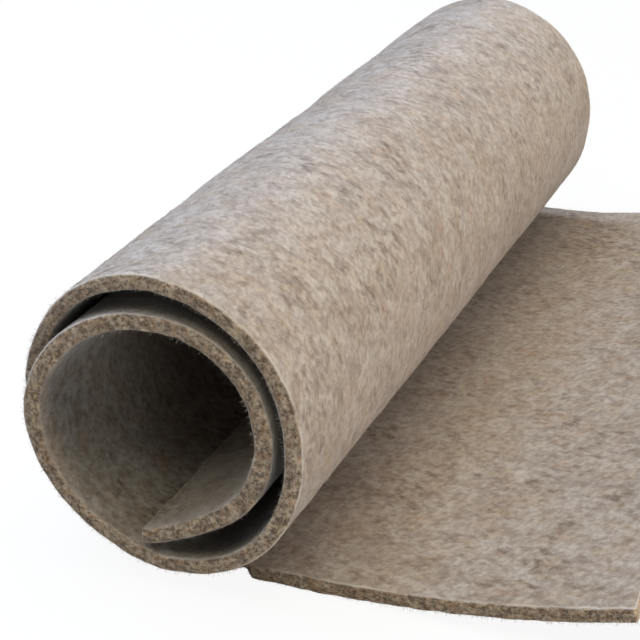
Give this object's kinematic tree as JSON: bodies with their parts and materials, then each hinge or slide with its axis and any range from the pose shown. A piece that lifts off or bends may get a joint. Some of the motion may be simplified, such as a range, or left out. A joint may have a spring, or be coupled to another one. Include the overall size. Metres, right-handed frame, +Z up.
{
  "type": "roll of felt",
  "caption": "Cut length of thick heathered wool felt, loosely rolled up round an open core, with its free length lying flat and curling up a little at the end.",
  "frame": {"origin": "on the underside of the felt where the roll rests on the surface, under the roll's axis and halfway along the roll", "axes": "+Y along the roll, away from its near end; +X across the roll to the side where the free length lies; +Z up"},
  "size_m": [0.1147, 0.2073, 0.0605],
  "materials": {
    "wool_felt": "matt heathered wool felt, warm grey-beige with brown and pale fibres and a short fuzz"
  },
  "bodies": {
    "root": {"felt_sheet": "wool_felt"}
  },
  "joints": []
}
